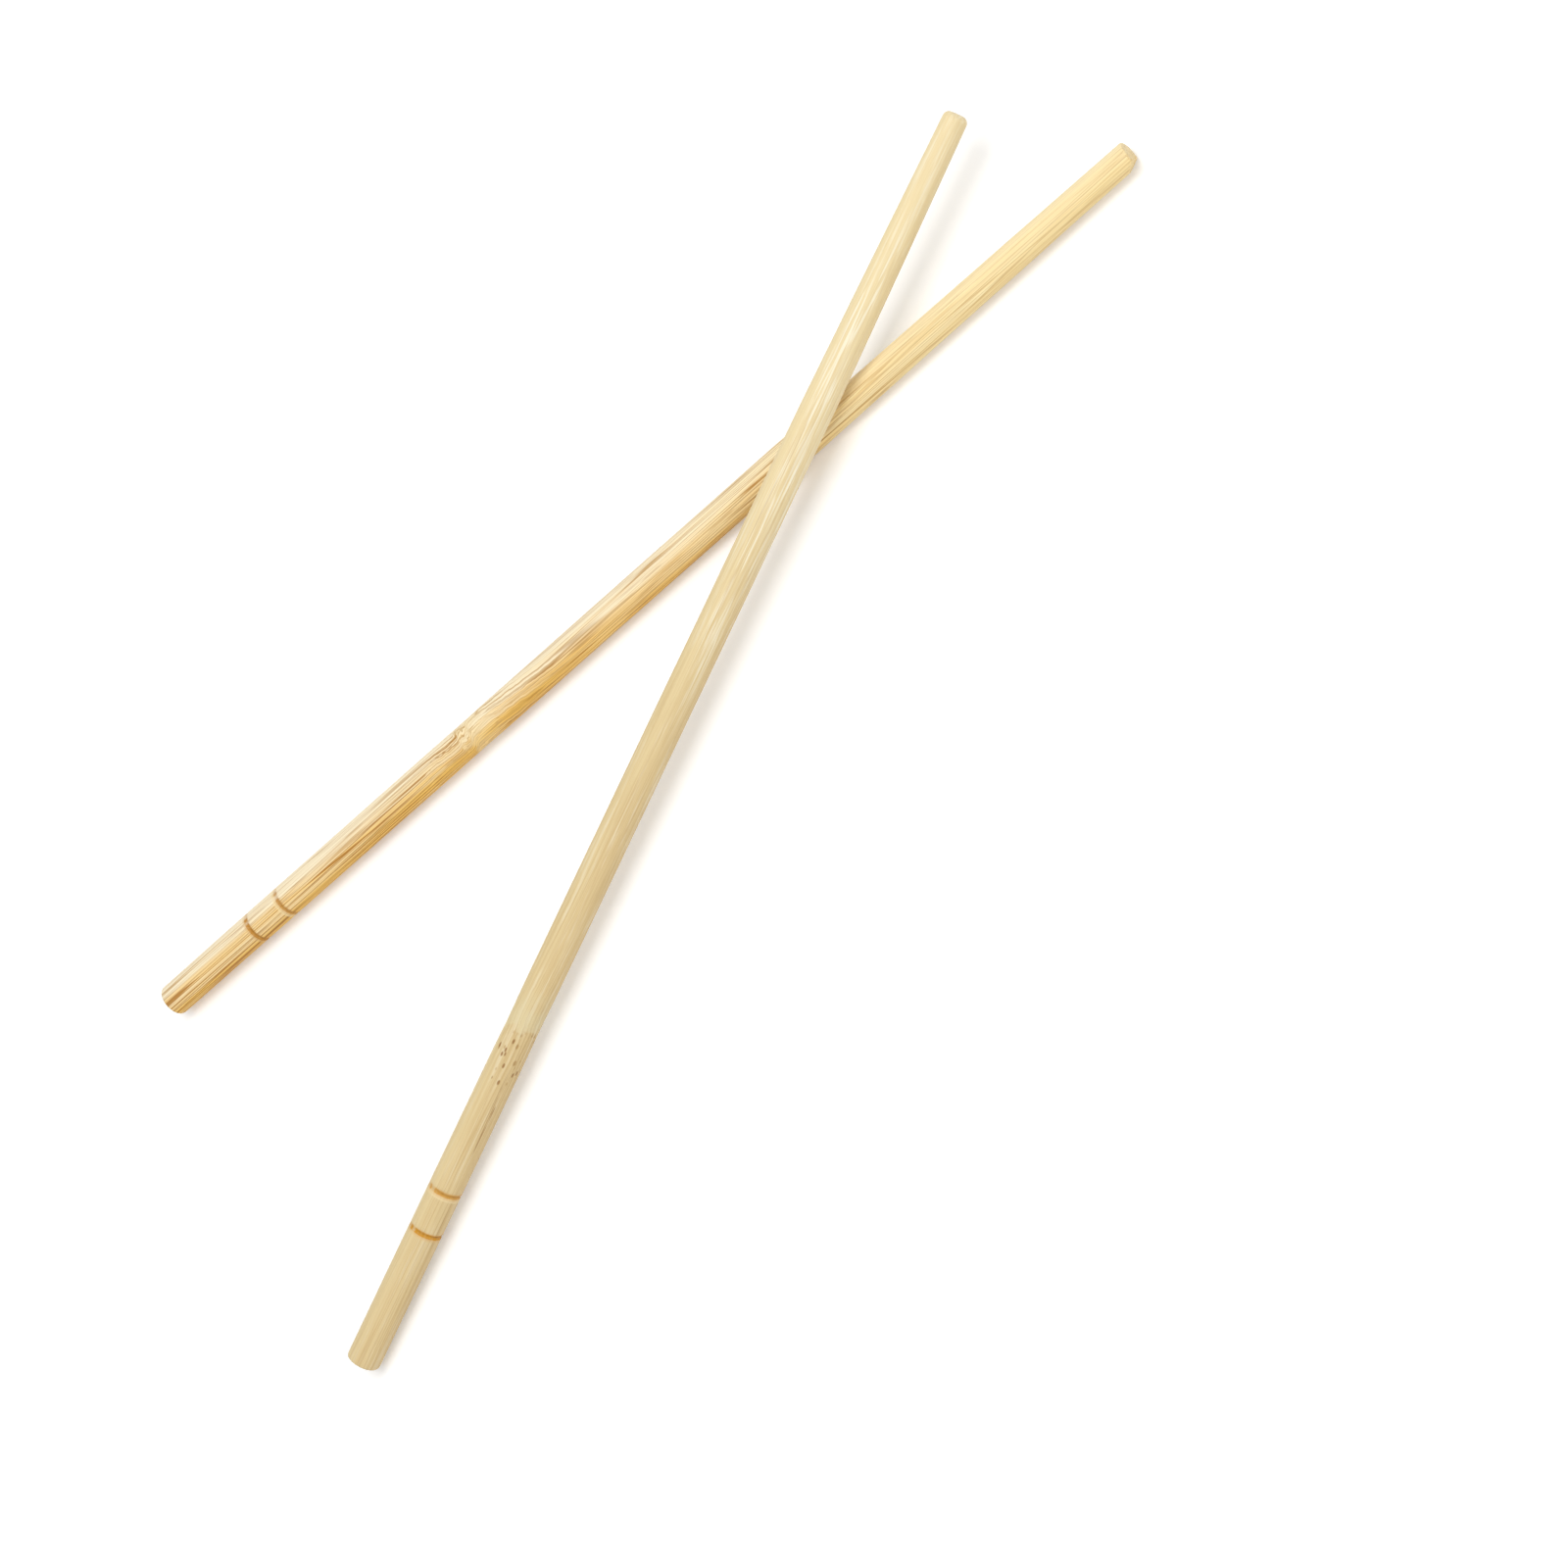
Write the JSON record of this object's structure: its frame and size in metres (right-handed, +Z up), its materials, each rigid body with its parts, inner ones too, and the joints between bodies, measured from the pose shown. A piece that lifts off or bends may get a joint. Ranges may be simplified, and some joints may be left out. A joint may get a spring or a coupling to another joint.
{
  "type": "bamboo chopsticks",
  "caption": "Pair of round tapered bamboo chopsticks with ring grooves near the butts, one lying flat and the other leaning across it.",
  "frame": {"origin": "under the middle of the pair's box, on the surface that it lies on", "axes": "+Z up from that surface; +Y from the butts to the tips, along the line that halves the angle between the sticks; the upper stick's butt is on the +X side and its tip on the -X side"},
  "size_m": [0.0808, 0.2378, 0.0118],
  "materials": {
    "golden_bamboo": "planed and sanded bamboo, golden, with straight fibres, uncoated",
    "pale_bamboo": "planed and sanded bamboo, pale straw, with fine straight fibres, uncoated"
  },
  "bodies": {
    "root": {"lower_chopstick": "golden_bamboo", "upper_chopstick": "pale_bamboo"}
  },
  "joints": []
}
